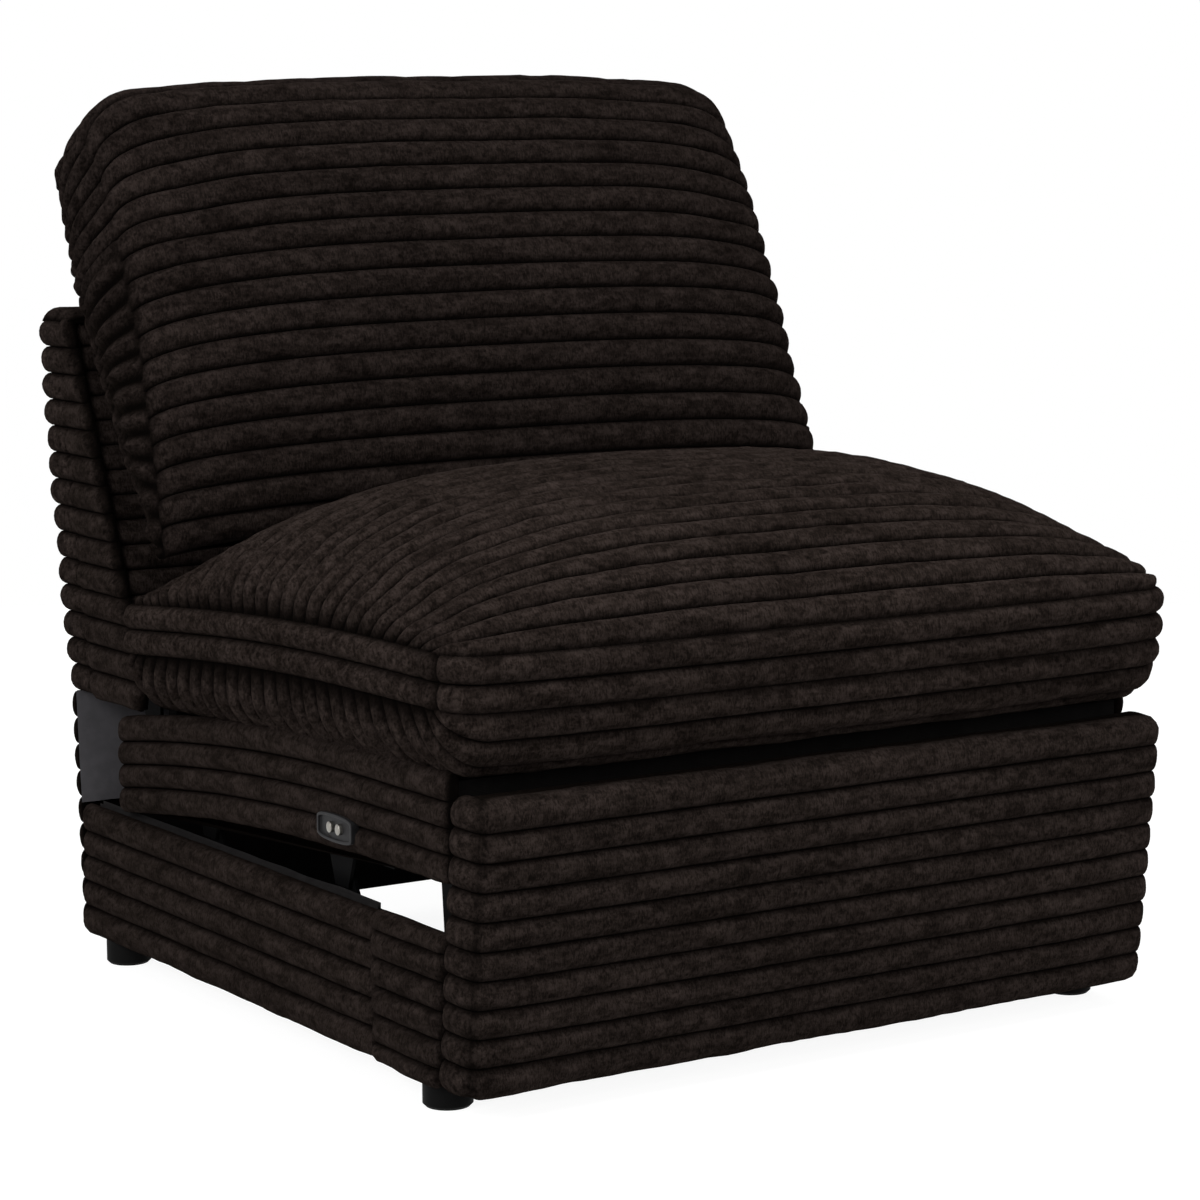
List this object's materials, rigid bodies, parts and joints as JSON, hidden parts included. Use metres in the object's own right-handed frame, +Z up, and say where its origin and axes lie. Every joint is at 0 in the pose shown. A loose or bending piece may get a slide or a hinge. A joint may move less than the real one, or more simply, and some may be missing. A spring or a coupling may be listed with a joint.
{
  "type": "armless recliner",
  "caption": "Armless power recliner: deep seat cushion and raked back pillow in channelled plush, folding footrest panel, upholstered sides on short round feet.",
  "frame": {"origin": "middle of the chair's footprint at floor level", "axes": "+Z up, the chair faces -Y, +X is the sitter's left hand side"},
  "size_m": [0.93, 1.0093, 1.035],
  "materials": {
    "plush": "ribbed plush, dark brown, soft sheen",
    "cushion_plush": "ribbed plush over foam, dark brown, soft sheen",
    "lining": "plain woven grey lining",
    "timber": "plywood stapled over with thin black cloth",
    "feet": "moulded black, satin",
    "black_steel": "black enamel, satin",
    "webbing": "black elastic webbing",
    "switch_plate": "dark blue-grey moulded plate, satin",
    "button_metal": "brushed silver button caps",
    "motor_plastic": "black moulded housing",
    "bright_steel": "rolled screw, bright"
  },
  "bodies": {
    "base": {"base_side_right": "timber", "base_side_left": "timber", "base_cover_right": "plush", "base_cover_left": "plush", "corner_wrap_right": "plush", "corner_wrap_left": "plush", "base_front_rail": "timber", "base_rear_rail": "timber", "feet": "feet", "base_angles": "black_steel", "rear_flap": "plush", "flap_lining": "lining"},
    "front_links": {"front_swing_links": "black_steel"},
    "rear_links": {"rear_swing_links": "black_steel"},
    "rods": {"push_rods": "black_steel"},
    "seat": {"seat_plates": "black_steel", "seat_rail_right": "timber", "seat_rail_left": "timber", "seat_cover_right": "plush", "seat_cover_left": "plush", "seat_front_board": "timber", "seat_rear_rail": "timber", "seat_webbing": "webbing", "cross_tubes": "black_steel", "seat_cushion": "cushion_plush", "switch_plate": "switch_plate", "gearbox": "motor_plastic", "motor": "motor_plastic", "actuator_track": "black_steel", "lead_screw": "bright_steel", "track_hanger": "black_steel", "power_inlet": "motor_plastic"},
    "opener": {"button_open": "button_metal"},
    "closer": {"button_close": "button_metal"},
    "block": {"drive_block": "motor_plastic", "push_arms": "black_steel"},
    "long_tongs": {"long_links": "black_steel", "torque_tube": "black_steel"},
    "cross_tongs": {"cross_links": "black_steel"},
    "short_tongs": {"short_links": "black_steel"},
    "footrest": {"footrest_brackets": "black_steel", "footrest_board": "timber", "footrest_cover": "plush"},
    "back": {"back_side_cover_right": "plush", "back_side_cover_left": "plush", "back_rear_cover": "plush", "back_front_cover": "plush", "back_cap": "plush", "back_side_board_right": "timber", "back_side_board_left": "timber", "back_rails": "timber", "back_brackets": "black_steel", "back_cushion": "cushion_plush"}
  },
  "joints": [
    {"name": "recline", "type": "hinge", "parent": "base", "child": "front_links", "pos_m": [0, -0.198, 0.078], "axis": [1, 0, 0], "range_deg": [0, 50], "deforming": ["rear_flap", "flap_lining"]},
    {"name": "rear_link_swing", "type": "hinge", "parent": "base", "child": "rear_links", "pos_m": [0, 0.107, 0.078], "axis": [1, 0, 0], "range_deg": [0, 50]},
    {"name": "seat_swing", "type": "hinge", "parent": "front_links", "child": "seat", "pos_m": [0, -0.14306, 0.19582], "axis": [1, 0, 0], "range_deg": [-50, 0]},
    {"name": "back_recline", "type": "hinge", "parent": "seat", "child": "back", "pos_m": [0, 0.307, 0.288], "axis": [-1, 0, 0], "range_deg": [0, 28]},
    {"name": "rod_swing", "type": "hinge", "parent": "rear_links", "child": "rods", "pos_m": [0, 0.18096, 0.2366], "axis": [1, 0, 0], "range_deg": [-50, 0]},
    {"name": "footrest_opening", "type": "hinge", "parent": "seat", "child": "long_tongs", "pos_m": [0, -0.375, 0.308], "axis": [-1, 0, 0], "range_deg": [0, 78]},
    {"name": "cross_link_turn", "type": "hinge", "parent": "long_tongs", "child": "cross_tongs", "pos_m": [0, -0.383, 0.20832], "axis": [-1, 0, 0], "range_deg": [-156, 0]},
    {"name": "footrest_turn", "type": "hinge", "parent": "cross_tongs", "child": "footrest", "pos_m": [0, -0.391, 0.308], "axis": [-1, 0, 0], "range_deg": [0, 156]},
    {"name": "short_link_turn", "type": "hinge", "parent": "long_tongs", "child": "short_tongs", "pos_m": [0, -0.391, 0.10864], "axis": [-1, 0, 0], "range_deg": [-156, 0]},
    {"name": "drive_block_slide", "type": "slide", "parent": "seat", "child": "block", "axis": [0, -1, 0], "range_m": [0, 0.0882]},
    {"name": "button_open_press", "type": "slide", "parent": "seat", "child": "opener", "axis": [1, 0, 0], "range_m": [0, 0.0015], "stiffness_N_per_m": 400},
    {"name": "button_close_press", "type": "slide", "parent": "seat", "child": "closer", "axis": [1, 0, 0], "range_m": [0, 0.0015], "stiffness_N_per_m": 400}
  ],
  "couplings": [
    {"joint": "rear_link_swing", "follows": "recline", "ratio": 1},
    {"joint": "seat_swing", "follows": "recline", "ratio": -1},
    {"joint": "rod_swing", "follows": "recline", "ratio": -1},
    {"joint": "back_recline", "follows": "recline", "ratio": 0.56},
    {"joint": "cross_link_turn", "follows": "footrest_opening", "ratio": -2},
    {"joint": "footrest_turn", "follows": "footrest_opening", "ratio": 2},
    {"joint": "short_link_turn", "follows": "footrest_opening", "ratio": -2},
    {"joint": "drive_block_slide", "follows": "footrest_opening", "m_per_rad": 0.064718}
  ]
}
